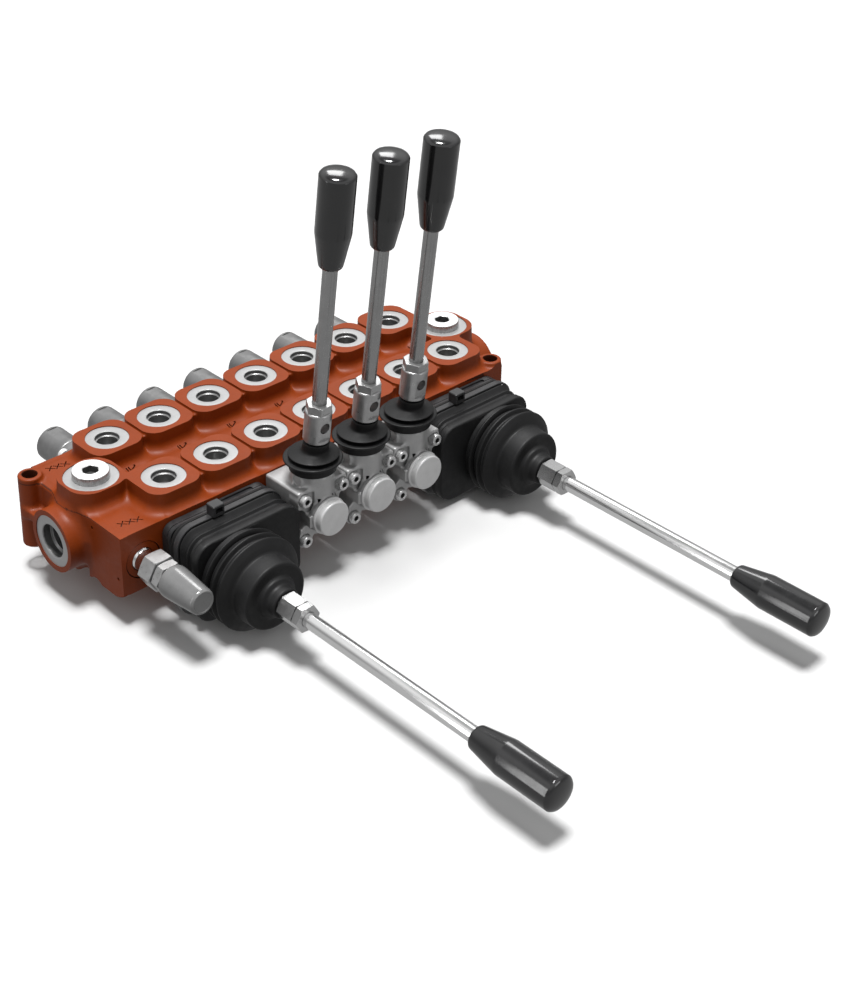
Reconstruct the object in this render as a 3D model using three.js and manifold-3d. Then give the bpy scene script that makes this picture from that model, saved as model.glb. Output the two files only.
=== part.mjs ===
// Seven-section hydraulic monoblock valve with three hand levers and two joysticks.
// Millimetres, +Z up. X runs along the row of sections, the levers are on the -Y side and the
// spring caps on the +Y side. The origin is on the flat underside, below the middle section.
import * as THREE from 'three';
import { mergeVertices } from 'three/addons/utils/BufferGeometryUtils.js';
import Module from 'manifold-3d';

const wasm = await Module();
wasm.setup();

// Driving dimensions
const PITCH = 42;
const SECTIONS = 7;
const FRONT_Y = -55;
const REAR_Y = 53;
const LEFT_X = -172;
const LEFT_WALL_X = -179;
const RIGHT_X = 157;
const DECK_Z = 48;
const PORT_Z = 62;
const SPOOL_Z = 25.7;
const PORT_ROW_Y = 31.25;
const PORT_BORE_R = 8.3;
const PORT_DEPTH = 16;
const SPOTFACE_R = 14.45;
const SPOOL_R = 8;
const SPOOL_BORE_R = 8.3;
const CAP_FLANGE = 41;
const GAP = 0.3;
const LEVER_SECTIONS = [2, 3, 4];
const LEVER_PIVOT_Y = -79.2;
const LEVER_PIVOT_Z = 47.7;
const LEVER_LEAN = THREE.MathUtils.degToRad(6.8);
const JOYSTICK_X = 115.5;
const JOYSTICK_PLATE_X = 106;
const JOYSTICK_SECTIONS_X = 105;
const JOYSTICK_Z = 15;
const JOYSTICK_PIVOT_Y = -86;
const RELIEF_X = -161.5;
const SIDE_PORTS = [
  { side: -1, faceX: -192, y: 2.4 },
  { side: 1, faceX: 180, y: -5 },
];
const SIDE_PORT_Z = 23.9;
const SIDE_BOSS_R = 21.5;
const TOP_PLUGS = [
  { name: 'left', x: -161, y: -1 },
  { name: 'right', x: 149.5, y: -1 },
];
const EARS = [
  { x: -180.5, y: 41.5, reach: 14 },
  { x: 153.5, y: -47.2, reach: -8 },
];
const EAR_R = 8;
const EAR_HOLE_R = 4.9;
const EAR_TOP_Z = 51.5;

const sectionX = (index) => (index - (SECTIONS - 1) / 2) * PITCH;
const sectionIndices = [...Array(SECTIONS).keys()];

// Solids: closed geometry in, joined or cut solid out

function solid(geometry) {
  const bare = geometry.index ? geometry.toNonIndexed() : geometry.clone();
  bare.deleteAttribute('normal');
  bare.deleteAttribute('uv');
  const merged = mergeVertices(bare, 1e-4);
  const numbers = { numProp: 3, vertProperties: new Float32Array(merged.attributes.position.array) };
  const triVerts = outwardTriangles(merged);
  return new wasm.Manifold(new wasm.Mesh({ ...numbers, triVerts }));
}

function outwardTriangles(geometry) {
  const position = geometry.attributes.position;
  const corners = geometry.index.array;
  const kept = [];
  let volume = 0;
  const [a, b, c] = [new THREE.Vector3(), new THREE.Vector3(), new THREE.Vector3()];
  for (let i = 0; i < corners.length; i += 3) {
    const [p, q, r] = corners.slice(i, i + 3);
    if (p === q || q === r || r === p) continue;
    a.fromBufferAttribute(position, p);
    b.fromBufferAttribute(position, q);
    c.fromBufferAttribute(position, r);
    volume += a.dot(b.cross(c));
    kept.push(p, q, r);
  }
  return new Uint32Array(volume < 0 ? kept.reverse() : kept);
}

const join = (first, ...others) => others.reduce((whole, next) => whole.add(next), first);
const cut = (first, ...others) => others.reduce((whole, next) => whole.subtract(next), first);

function namedMesh(name, body, material) {
  const result = body.getMesh();
  const geometry = new THREE.BufferGeometry();
  geometry.setAttribute('position', new THREE.BufferAttribute(result.vertProperties, 3));
  geometry.setIndex(new THREE.BufferAttribute(result.triVerts, 1));
  geometry.computeVertexNormals();
  const mesh = new THREE.Mesh(geometry, material.clone());
  mesh.name = name;
  return mesh;
}

function box(x0, x1, y0, y1, z0, z1) {
  const geometry = new THREE.BoxGeometry(x1 - x0, y1 - y0, z1 - z0);
  return solid(geometry.translate((x0 + x1) / 2, (y0 + y1) / 2, (z0 + z1) / 2));
}

// A cylinder between two stations along one axis, through the point `at`.
function rod(axis, from, to, radius, at = [0, 0, 0], sides = 12) {
  const length = to - from;
  const geometry = new THREE.CylinderGeometry(radius, radius, length, sides);
  geometry.translate(0, from + length / 2, 0);
  return solid(aim(geometry, axis).translate(...at));
}

// A turned part: profile points are [radius, station along the axis]. A profile that starts off
// the axis is closed back to its first point.
function turned(axis, profile, at = [0, 0, 0], sides = 14) {
  const loop = profile[0][0] > 0 ? [...profile, profile[0]] : profile;
  const points = loop.map(([radius, station]) => new THREE.Vector2(radius, station));
  const geometry = new THREE.LatheGeometry(points, sides);
  return solid(aim(geometry, axis).translate(...at));
}

// Turns geometry built along +Y so that its axis is X, Y or Z.
function aim(geometry, axis) {
  if (axis === 'x') return geometry.rotateZ(-Math.PI / 2);
  if (axis === 'z') return geometry.rotateX(Math.PI / 2);
  return geometry;
}

function roundedRectangle(width, height, radius) {
  const [w, h] = [width / 2, height / 2];
  const shape = new THREE.Shape();
  shape.absarc(w - radius, h - radius, radius, 0, Math.PI / 2);
  shape.absarc(-w + radius, h - radius, radius, Math.PI / 2, Math.PI);
  shape.absarc(-w + radius, -h + radius, radius, Math.PI, 1.5 * Math.PI);
  shape.absarc(w - radius, -h + radius, radius, 1.5 * Math.PI, 2 * Math.PI);
  shape.closePath();
  return shape;
}

function hexagon(acrossFlats) {
  const radius = acrossFlats / Math.sqrt(3);
  const corners = [...Array(6).keys()].map((i) => (i * Math.PI) / 3);
  const points = corners.map((t) => new THREE.Vector2(radius * Math.cos(t), radius * Math.sin(t)));
  return new THREE.Shape(points);
}

function extruded(shape, depth, curveSegments) {
  return new THREE.ExtrudeGeometry(shape, { depth, bevelEnabled: false, curveSegments });
}

// An outline drawn in X and Y, raised from z0 to z1.
function upright(shape, z0, z1, at = [0, 0]) {
  return solid(extruded(shape, z1 - z0, 2).translate(at[0], at[1], z0));
}

// An outline drawn in X and Z, run from y0 to y1.
function forward(shape, y0, y1, at = [0, 0], steps = 2) {
  return solid(extruded(shape, y1 - y0, steps).rotateX(Math.PI / 2).translate(at[0], y1, at[1]));
}

// An outline drawn in Y and Z, run from x0 to x1.
function sideways(shape, x0, x1) {
  const geometry = extruded(shape, x1 - x0, 4).rotateX(Math.PI / 2).rotateZ(Math.PI / 2);
  return solid(geometry.translate(x0, 0, 0));
}

// Materials
const finish = (color, roughness, metalness) =>
  new THREE.MeshStandardMaterial({ color, roughness, metalness });
const paint = finish(0xa8492a, 0.55, 0.1);
const machined = finish(0xd8dada, 0.3, 0.9);
const zinc = finish(0x9c9c9c, 0.45, 0.8);
const dieCast = finish(0x9a9c9d, 0.5, 0.7);
const rubber = finish(0x2a2a2b, 0.75, 0);
const blackPlate = finish(0x1d1d1e, 0.5, 0.2);
const knobPlastic = finish(0x141416, 0.2, 0);
const bright = finish(0xc8c8c8, 0.2, 1);
const steel = finish(0x7f8284, 0.35, 0.9);

// Valve body

const PORT_BOSS = { width: 39.6, depth: 37.6, corner: 11 };

function portBosses() {
  const shape = roundedRectangle(PORT_BOSS.width, PORT_BOSS.depth, PORT_BOSS.corner);
  const bosses = [];
  for (const y of [-PORT_ROW_Y, PORT_ROW_Y]) {
    for (const index of sectionIndices) {
      bosses.push(upright(shape, DECK_Z - 1, PORT_Z, [sectionX(index), y]));
    }
    const saddleEnd = sectionX(SECTIONS - 1);
    bosses.push(box(-saddleEnd, saddleEnd, y - 12, y + 12, DECK_Z - 1, PORT_Z - 2.4));
  }
  return bosses;
}

function portBores() {
  const bores = [];
  const profile = [
    [0, PORT_Z + 1], [SPOTFACE_R, PORT_Z + 1], [SPOTFACE_R, PORT_Z - 0.8],
    [PORT_BORE_R, PORT_Z - 0.8], [PORT_BORE_R, PORT_Z - PORT_DEPTH], [0, PORT_Z - PORT_DEPTH],
  ];
  for (const y of [-PORT_ROW_Y, PORT_ROW_Y]) {
    for (const index of sectionIndices) {
      bores.push(turned('z', profile, [sectionX(index), y, 0], 14));
    }
  }
  return bores;
}

function sidePortSolids() {
  return SIDE_PORTS.map(({ side, faceX, y }) => {
    const [low, high] = [faceX, side * 140].sort((a, b) => a - b);
    return rod('x', low, high, SIDE_BOSS_R, [0, y, SIDE_PORT_Z], 20);
  });
}

function sidePortBores() {
  return SIDE_PORTS.map(({ side, faceX, y }) => {
    const profile = [[0, 1], [17.9, 1], [17.9, -0.8], [11, -0.8], [11, -18], [0, -18]];
    const stations = profile.map(([radius, out]) => [radius, faceX + side * out]);
    return turned('x', stations, [0, y, SIDE_PORT_Z], 18);
  });
}

// Each top plug's boss runs down into the boss of the end port below it.
function topPlugBosses() {
  const shape = roundedRectangle(40, 39, 15);
  return TOP_PLUGS.map(({ x, y }) => upright(shape, SIDE_PORT_Z + 11, PORT_Z, [x, y]));
}

function topPlugBores() {
  const profile = [
    [0, PORT_Z + 1], [18, PORT_Z + 1], [18, PORT_Z - 0.8], [10.6, PORT_Z - 0.8],
    [10.6, PORT_Z - 14], [0, PORT_Z - 14],
  ];
  return TOP_PLUGS.map(({ x, y }) => turned('z', profile, [x, y, 0], 16));
}

function ears() {
  return EARS.flatMap(({ x, y, reach }) => [
    rod('z', 0, EAR_TOP_Z, EAR_R, [x, y, 0], 16),
    box(Math.min(x, x + reach), Math.max(x, x + reach), y - 4.5, y + 4.5, 0, DECK_Z - 4),
  ]);
}

// The left wall stands out between the ear and the end port, with a rib that joins those two.
function leftWall() {
  return [
    box(LEFT_WALL_X, LEFT_X + 1, 0, 46, 0, DECK_Z),
    box(LEFT_WALL_X - 9, LEFT_WALL_X + 1, 14, 41.5, 22.5, 29.5),
  ];
}

const earHoles = () => EARS.map(({ x, y }) => rod('z', -1, EAR_TOP_Z + 1, EAR_HOLE_R, [x, y, 0], 12));

function spoolBores() {
  return sectionIndices.map((index) =>
    rod('y', FRONT_Y - 1, REAR_Y + 1, SPOOL_BORE_R, [sectionX(index), 0, SPOOL_Z], 12));
}

// The front-left block carries the relief valve; its underside is scalloped.
function reliefBlock() {
  const outline = new THREE.Shape();
  outline.moveTo(-16.5, 0);
  outline.lineTo(-43, 0);
  outline.quadraticCurveTo(-48, 0.4, FRONT_Y, 4.5);
  outline.lineTo(FRONT_Y, DECK_Z);
  outline.lineTo(-16.5, DECK_Z);
  const block = sideways(outline, LEFT_X - 6, LEFT_X + 30);
  const cavity = turned('y', [
    [0, FRONT_Y - 1], [13, FRONT_Y - 1], [13, FRONT_Y + 1], [8.3, FRONT_Y + 1],
    [8.3, FRONT_Y + 22], [0, FRONT_Y + 22],
  ], [RELIEF_X, 0, SPOOL_Z]);
  const scallop = rod('x', LEFT_X - 7, LEFT_X + 31, 8, [0, -24, -6], 12);
  return { block, cuts: [cavity, scallop] };
}

function valveBody() {
  const relief = reliefBlock();
  const core = box(LEFT_X, RIGHT_X, FRONT_Y, REAR_Y, 0, DECK_Z);
  const bosses = [...portBosses(), ...sidePortSolids(), ...topPlugBosses(), ...ears()];
  const casting = join(core, relief.block, ...leftWall(), ...bosses);
  const bores = [...portBores(), ...sidePortBores(), ...topPlugBores(), ...spoolBores()];
  return namedMesh('valve_body', cut(casting, ...bores, ...earHoles(), ...relief.cuts), paint);
}

function topPlug({ name, x, y }) {
  const seat = PORT_Z - 0.8 + GAP;
  const head = turned('z', [
    [0, -12], [10.2, -12], [10.2, 0], [12.2, 0], [12.2, 4.6], [11.2, 5.6], [0, 5.6],
  ], [0, 0, seat], 16);
  const socket = upright(hexagon(10), seat + 1, seat + 7);
  const mesh = namedMesh(`top_plug_${name}`, cut(head, socket), machined);
  mesh.position.set(x, y, 0);
  return mesh;
}

// Relief valve: cartridge, locknut and tapered cap, on one axis along Y
function reliefValve() {
  const group = new THREE.Group();
  group.position.set(RELIEF_X, 0, SPOOL_Z);
  const stub = turned('y', [[0, -36], [8, -36], [8, -65], [4.9, -65], [4.9, -99], [0, -99]]);
  const hex = forward(hexagon(21.5), -77, -65);
  group.add(namedMesh('relief_cartridge', join(stub, hex), zinc));
  const nut = cut(forward(hexagon(19.5), -84.5, -77.6), rod('y', -86, -77, 5.2));
  group.add(namedMesh('relief_locknut', nut, zinc));
  const cap = turned('y', [
    [5.2, -84.9], [11.1, -84.9], [11.1, -89], [8.7, -115.6], [7.8, -116.6], [0, -116.6],
    [0, -100], [5.2, -100],
  ]);
  group.add(namedMesh('relief_cap', cap, zinc));
  return group;
}

// Spools and spring caps

function spool(index) {
  const lever = LEVER_SECTIONS.includes(index);
  const frontEnd = lever ? -86.6 : -60;
  const profile = [
    [0, frontEnd], [SPOOL_R, frontEnd], [SPOOL_R, 57], [3.6, 57], [3.6, 80], [8.6, 80],
    [8.6, 84], [0, 84],
  ];
  const bar = turned('y', profile, [0, 0, 0], 12);
  const slot = box(-4.4, 4.4, LEVER_PIVOT_Y - 5.1, LEVER_PIVOT_Y + 5.1, -5.2, 9);
  const mesh = namedMesh(`spool_${index + 1}`, lever ? cut(bar, slot) : bar, steel);
  mesh.position.set(sectionX(index), 0, SPOOL_Z);
  return mesh;
}

function springCap(index) {
  const start = REAR_Y + GAP;
  const flange = forward(roundedRectangle(CAP_FLANGE, CAP_FLANGE, 7), start, start + 5);
  const barrel = turned('y', [
    [10, start], [14.2, start], [14.2, start + 6], [12.4, start + 8], [12.4, 101.8], [11.2, 103],
    [0, 103], [0, 97], [10, 97],
  ]);
  const opening = rod('y', start - 1, start + 6, 9.8);
  const mesh = namedMesh(`spring_cap_${index + 1}`, cut(join(flange, barrel), opening), zinc);
  mesh.position.set(sectionX(index), 0, SPOOL_Z);
  return mesh;
}

// Lever control units, one per lever section, built around x = 0

const LEVER_BOX = { half: 20.6, front: -88.6, top: 47.6, bar: 34, round: 16.2 };
const LOW_EAR = { x: -15.8, z: 10.3, r: 5.2 };
const SIDE_SCOOP = { x: 21.6, z: 26.5, r: 8.2, end: -66 };
const TOWER = { y: -79.3, r: 13.2, top: 59 };

// Screw plate: a bar across the top, a round about the spool, an ear low on the left, scooped sides
function leverBox() {
  const { half, front, top, bar, round } = LEVER_BOX;
  const back = FRONT_Y - GAP;
  const beam = box(-half, half, front, back, bar, top);
  const collar = rod('y', front, back, round, [0, 0, SPOOL_Z], 16);
  const leg = box(LOW_EAR.x - 3.2, -8, front, back, LOW_EAR.z, bar + 1);
  const ear = rod('y', front, back, LOW_EAR.r, [LOW_EAR.x, 0, LOW_EAR.z], 10);
  const scoops = [-1, 1].map((side) =>
    rod('y', front - 1, SIDE_SCOOP.end, SIDE_SCOOP.r, [side * SIDE_SCOOP.x, 0, SIDE_SCOOP.z], 10));
  return cut(join(beam, collar, leg, ear), ...scoops);
}

function leverHousing() {
  const tower = rod('z', 30, TOWER.top, TOWER.r, [0, TOWER.y, 0], 16);
  const web = rod('z', 34, 55, 7, [0, -86, 0], 12);
  const snout = rod('y', -93.7, -86, 13.2, [0, 0, SPOOL_Z], 16);
  const lug = box(-14.2, -9, -93.2, -84, 21, 29.5);
  const well = rod('z', 33, TOWER.top + 1, 10.8, [0, TOWER.y, 0], 12);
  const throughBore = rod('y', -95, FRONT_Y + 1, 10.8, [0, 0, SPOOL_Z], 12);
  const cavity = box(-6.5, 6.5, -92.3, -64, 16, 39);
  const pinHole = rod('x', -12.9, 12.9, 3.3, [0, LEVER_PIVOT_Y, LEVER_PIVOT_Z], 8);
  return cut(join(leverBox(), tower, web, snout, lug), well, throughBore, cavity, pinHole);
}

function leverFrontCap() {
  return turned('y', [
    [8.8, -90], [9.9, -90], [9.9, -94], [13.3, -94], [13.3, -95.6], [12.3, -95.6],
    [12.3, -100.8], [0, -100.8], [0, -95], [8.8, -95],
  ], [0, 0, SPOOL_Z], 16);
}

// Rubber boot: its neck follows the leaning lever.
function leverBoot() {
  const base = turned('z', [
    [14.1, 55.9], [15.9, 55.9], [15.9, 62.2], [19.6, 62.8], [19.6, 64.4], [12.4, 65.7],
    [16.9, 67.3], [8.9, 70.4], [0, 70.4], [0, 66], [11, 59.6], [14.1, 59.6],
  ], [0, TOWER.y, 0]);
  const neck = rod('z', 68, 77.2, 8.7, [0, TOWER.y - 2.9, 0], 16);
  const opening = rod('z', 8, 40, 6.3, [0, 0, 0], 12)
    .rotate([THREE.MathUtils.radToDeg(LEVER_LEAN), 0, 0])
    .translate(0, LEVER_PIVOT_Y, LEVER_PIVOT_Z);
  return cut(join(base, neck), opening);
}

// Stem with its pivot ball, cross pin and lower arm; stations along Z are measured from the pivot.
function leverStem() {
  const ball = solid(new THREE.SphereGeometry(7.8, 10, 6));
  const pin = rod('x', -12.6, 12.6, 3, [0, 0, 0], 8);
  const arm = rod('z', SPOOL_Z - LEVER_PIVOT_Z, 0, 3.1, [0, 0, 0], 8);
  const tip = solid(new THREE.SphereGeometry(4.4, 8, 6)).translate(0, 0, SPOOL_Z - LEVER_PIVOT_Z);
  const lean = (body) => body.rotate([THREE.MathUtils.radToDeg(LEVER_LEAN), 0, 0]);
  const neck = lean(rod('z', 0, 31, 5.2, [0, 0, 0], 10));
  return join(ball, pin, arm, tip, neck);
}

// Holder with the hexagon that clamps the rod
function leverHolder() {
  const barrel = rod('z', 31.3, 54.2, 8.9, [0, 0, 0], 16);
  const hex = upright(hexagon(15.2), 54, 60.2);
  const flat = box(-10, 10, -12, -7.4, 34.5, 48.7);
  const crossHole = rod('y', -12, 12, 3.8, [0, 0, 43.4], 10);
  const socket = rod('z', 49.8, 62, 5.2, [0, 0, 0], 10);
  return cut(join(barrel, hex), flat, crossHole, socket);
}

const leverRod = () => rod('z', 50.1, 188, 4.8, [0, 0, 0], 10);

// Knob profile from its narrow inner end; the rod enters a blind hole.
const KNOB = { length: 65.6, innerR: 7.8, outerR: 11.5, taper: 22.6, hole: 30 };

function knobProfile(start, out) {
  const stations = [
    [5.5, 0], [KNOB.innerR, 0], [KNOB.outerR, KNOB.taper], [KNOB.outerR, KNOB.length - 2.8],
    [KNOB.outerR / 2, KNOB.length - 0.7], [0, KNOB.length], [0, KNOB.hole], [5.5, KNOB.hole],
  ];
  return stations.map(([radius, along]) => [radius, start + out * along]);
}

function leverUnit(index) {
  const tag = index + 1;
  const group = new THREE.Group();
  group.position.x = sectionX(index);
  group.add(namedMesh(`lever_box_${tag}`, leverHousing(), dieCast));
  group.add(namedMesh(`lever_front_cap_${tag}`, leverFrontCap(), dieCast));
  group.add(namedMesh(`lever_boot_${tag}`, leverBoot(), rubber));
  const pivot = new THREE.Group();
  pivot.position.set(0, LEVER_PIVOT_Y, LEVER_PIVOT_Z);
  pivot.add(namedMesh(`lever_stem_${tag}`, leverStem(), steel));
  const handle = new THREE.Group();
  handle.rotation.x = LEVER_LEAN;
  handle.add(namedMesh(`lever_holder_${tag}`, leverHolder(), zinc));
  handle.add(namedMesh(`lever_rod_${tag}`, leverRod(), steel));
  handle.add(namedMesh(`lever_knob_${tag}`, turned('z', knobProfile(160, 1)), knobPlastic));
  pivot.add(handle);
  group.add(pivot);
  return group;
}

// Joystick units: plate and hub, bellows in two lengths, tie, gimbal ring, stem, rod and knob.
// Each is built around its own axis (x = 0, z = 0); `inward` is the plate centre's offset in X.

const HUB = { outer: 27, inner: 22.6, front: -95 };
const BELLOWS_HEIGHT = 64.5;

function joystickPlate(inward, side) {
  const plate = forward(roundedRectangle(82, 61, 8), -63.7, FRONT_Y - GAP, [inward, 0]);
  const hub = rod('y', HUB.front, -63, HUB.outer, [0, 0, 0], 16);
  const well = rod('y', HUB.front - 1, -60, HUB.inner, [0, 0, 0], 16);
  const pinHole = rod('x', -25.6, 25.6, 3.3, [0, JOYSTICK_PIVOT_Y, 0], 8);
  const between = side * (JOYSTICK_SECTIONS_X - JOYSTICK_X);
  const spoolHoles = [-PITCH / 2, PITCH / 2].map((x) =>
    rod('y', -75, FRONT_Y + 1, 9.4, [between + x, 0, SPOOL_Z - JOYSTICK_Z], 10));
  return cut(join(plate, hub), well, pinHole, ...spoolHoles);
}

function bellowsBase(inward) {
  const stages = [
    { y0: -76, y1: -64, x: inward, w: 82, h: BELLOWS_HEIGHT, r: 13 },
    { y0: -82, y1: -75, x: inward * 0.85, w: 78, h: 58, r: 14 },
    { y0: -91.3, y1: -81, x: inward * 1.08, w: 84, h: 59, r: 12 },
  ];
  const ribs = stages.map(({ y0, y1, x, w, h, r }) =>
    forward(roundedRectangle(w, h, r), y0, y1, [x, 0], 3));
  const collar = rod('y', -99, -90, 29.6, [0, 0, 0], 16);
  const rib = rod('y', -99, -96, 32.4, [0, 0, 0], 16);
  const hubRoom = rod('y', -100, -63, HUB.outer + 0.8, [0, 0, 0], 16);
  const room = forward(roundedRectangle(72, 50, 10), -79, -63, [inward, 0]);
  return cut(join(...ribs, collar, rib), hubRoom, room);
}

function bellowsNose() {
  return turned('y', [
    [6.2, -101.5], [29.6, -101.5], [32.6, -104.6], [32.6, -106], [29.6, -108.2], [32.6, -111],
    [32.6, -112.4], [23.9, -116.4], [23.4, -128.4], [22.8, -129.2], [13.8, -129.4], [12.8, -131.6],
    [10.6, -133.4], [10.4, -139.8], [6.2, -139.8],
  ], [0, 0, 0], 16);
}

function cableTie(inward) {
  const outer = forward(roundedRectangle(84.8, BELLOWS_HEIGHT + 2.8, 14), -73.5, -69, [inward, 0], 3);
  const inner = forward(roundedRectangle(82.6, BELLOWS_HEIGHT + 0.6, 13.3), -74, -68, [inward, 0], 3);
  const top = BELLOWS_HEIGHT / 2 + 1;
  const head = box(inward - 14.5, inward - 5.5, -75.5, -67.5, top, top + 8);
  const slot = box(inward - 12, inward - 8, -76, -67, top + 2.4, top + 5.6);
  return cut(join(outer.subtract(inner), head), slot);
}

function gimbalRing() {
  const ring = rod('y', -4, 4, 19, [0, 0, 0], 16);
  const opening = rod('y', -5, 5, 14.4, [0, 0, 0], 12);
  const pins = rod('x', -25.2, 25.2, 3, [0, 0, 0], 8);
  const pinHoles = rod('z', -20, 20, 3.3, [0, 0, 0], 8);
  return cut(join(ring, pins), opening, pinHoles);
}

function joystickStem() {
  const shank = rod('y', -62, 14, 5.6, [0, 0, 0], 10);
  const crossPin = rod('z', -18, 18, 3, [0, 0, 0], 8);
  const hex = forward(hexagon(16.5), -68.2, -54.4);
  const socket = rod('y', -72, -64, 5.6, [0, 0, 0], 12);
  return cut(join(shank, crossPin, hex), socket);
}

function joystickNut() {
  const nut = forward(hexagon(16.5), -74.3, -68.5);
  const chamfer = turned('y', [[0, -60], [20, -62.8], [9.1, -74.6], [0, -74.6]], [0, 0, 0], 12);
  return cut(nut.intersect(chamfer), rod('y', -76, -67, 5.6));
}

function joystickUnit(side) {
  const tag = side < 0 ? 'left' : 'right';
  const group = new THREE.Group();
  group.position.set(side * JOYSTICK_X, 0, JOYSTICK_Z);
  const inward = side * (JOYSTICK_PLATE_X - JOYSTICK_X);
  group.add(namedMesh(`joystick_plate_${tag}`, joystickPlate(inward, side), blackPlate));
  group.add(namedMesh(`bellows_base_${tag}`, bellowsBase(inward), rubber));
  group.add(namedMesh(`cable_tie_${tag}`, cableTie(inward), blackPlate));
  group.add(namedMesh(`bellows_nose_${tag}`, bellowsNose(), rubber));
  const pivot = new THREE.Group();
  pivot.position.y = JOYSTICK_PIVOT_Y;
  pivot.add(namedMesh(`gimbal_ring_${tag}`, gimbalRing(), steel));
  pivot.add(namedMesh(`joystick_stem_${tag}`, joystickStem(), bright));
  pivot.add(namedMesh(`joystick_nut_${tag}`, joystickNut(), bright));
  pivot.add(namedMesh(`joystick_rod_${tag}`, rod('y', -246, -64.3, 5.1), bright));
  pivot.add(namedMesh(`joystick_knob_${tag}`, turned('y', knobProfile(-218.4, -1)), knobPlastic));
  group.add(pivot);
  return group;
}

function monoblockValve() {
  const valve = new THREE.Group();
  valve.add(valveBody(), ...TOP_PLUGS.map(topPlug), reliefValve());
  for (const index of sectionIndices) valve.add(spool(index), springCap(index));
  for (const index of LEVER_SECTIONS) valve.add(leverUnit(index));
  for (const side of [-1, 1]) valve.add(joystickUnit(side));
  return valve;
}

export default monoblockValve();
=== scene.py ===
import math

import bmesh
import bpy
import numpy as np
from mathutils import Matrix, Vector


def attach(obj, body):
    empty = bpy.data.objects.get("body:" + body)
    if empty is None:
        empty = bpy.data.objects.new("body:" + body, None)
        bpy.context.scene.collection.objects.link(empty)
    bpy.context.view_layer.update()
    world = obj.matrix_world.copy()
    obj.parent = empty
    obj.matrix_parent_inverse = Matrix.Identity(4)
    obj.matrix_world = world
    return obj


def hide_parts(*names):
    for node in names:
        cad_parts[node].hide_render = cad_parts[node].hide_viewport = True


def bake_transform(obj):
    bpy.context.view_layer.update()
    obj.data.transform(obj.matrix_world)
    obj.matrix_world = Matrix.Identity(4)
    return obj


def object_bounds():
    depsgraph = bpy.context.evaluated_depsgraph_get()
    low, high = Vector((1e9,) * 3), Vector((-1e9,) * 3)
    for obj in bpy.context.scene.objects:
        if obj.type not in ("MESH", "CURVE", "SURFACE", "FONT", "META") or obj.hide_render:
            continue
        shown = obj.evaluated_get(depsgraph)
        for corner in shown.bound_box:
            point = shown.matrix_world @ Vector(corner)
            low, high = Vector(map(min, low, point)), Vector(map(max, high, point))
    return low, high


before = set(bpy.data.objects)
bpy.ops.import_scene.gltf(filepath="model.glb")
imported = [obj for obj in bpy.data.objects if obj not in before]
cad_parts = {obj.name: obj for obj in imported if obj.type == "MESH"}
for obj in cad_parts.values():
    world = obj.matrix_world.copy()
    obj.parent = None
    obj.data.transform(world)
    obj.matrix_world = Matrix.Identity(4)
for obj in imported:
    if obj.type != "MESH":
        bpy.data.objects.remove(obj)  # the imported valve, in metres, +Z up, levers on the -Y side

CAD_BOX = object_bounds()
MM = 0.001
TURN = 2 * math.pi

# Sizes in millimetres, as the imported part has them
PITCH = 42.0
SECTIONS = (-3, -2, -1, 0, 1, 2, 3)
LEVERS = {3: -1, 4: 0, 5: 1}  # lever number: its section
FRONT_Y, REAR_Y = -55.0, 53.0
LEFT_X, RIGHT_X = -172.0, 157.0
DECK_Z, PORT_Z, SPOOL_Z = 48.0, 62.0, 25.7
ROW_Y = 31.25
END_PORTS = ((-1, -192.0, 2.4), (1, 180.0, -5.0))  # side, face x, centre y
END_PORT_Z, END_BOSS_R = 23.9, 21.5
TOP_PLUGS = {"left": -161.0, "right": 149.5}
PLUG_Y = -1.0
EARS = ((-180.5, 41.5), (153.5, -47.2))  # x, y
EAR_TOP = 51.5
RELIEF_X = -161.5
LEVER_PIVOT = (-79.2, 47.7)  # y, z
LEVER_SCREWS = ((-15.8, 41.1), (15.8, 41.1), (-15.8, 10.3))  # x, z on a lever unit
CAP_SCREW_REACH = 16
LEVER_LEAN = math.radians(6.8)
TOWER_Y = -79.3
STICK_X, PLATE_X, STICK_Z, STICK_PIVOT_Y = 115.5, 106.0, 15.0, -86.0
SPOTFACE_Z, SPOOL_BORE_R, STICK_FLATS, TIE_Y = 61.2, 8.3, 16.5, -71.5


# ---- Mesh kit: a part is (vertices in mm, faces), always closed ----

def merge(*parts):
    verts, faces, base = [], [], 0
    for v, f in parts:
        verts.append(np.asarray(v, float))
        faces += [tuple(i + base for i in face) for face in f]
        base += len(v)
    return np.vstack(verts), faces


def shifted(part, at):
    return part[0] + np.array(at, float), part[1]


def soften(points, closed=False, steps=4):
    """Rounds the corners of a polyline. A third value on a point is how far its corner is set back."""
    out, n = [], len(points)
    for i, p in enumerate(points):
        if len(p) < 3 or (not closed and i in (0, n - 1)):
            out.append(tuple(p[:2]))
            continue
        corner = np.array(p[:2], float)
        ends = []
        for q in (points[i - 1], points[(i + 1) % n]):
            step = np.array(q[:2], float) - corner
            length = np.hypot(*step)
            ends.append(corner + step * min(p[2], 0.48 * length) / length)
        for k in range(steps + 1):
            u = k / steps
            out.append(tuple((1 - u) ** 2 * ends[0] + 2 * u * (1 - u) * corner + u * u * ends[1]))
    return out


def circle(radius, n=64):
    angle = np.arange(n) * TURN / n
    return np.stack([radius * np.cos(angle), radius * np.sin(angle)], 1)


def rounded_rect(width, height, radius, n=12, cx=0.0, cz=0.0):
    out = []
    for k, (sx, sz) in enumerate(((1, 1), (-1, 1), (-1, -1), (1, -1))):
        for j in range(n + 1):
            a = (k + j / n) * math.pi / 2
            out.append((cx + sx * (width / 2 - radius) + radius * math.cos(a),
                        cz + sz * (height / 2 - radius) + radius * math.sin(a)))
    return np.array(out)


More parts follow.
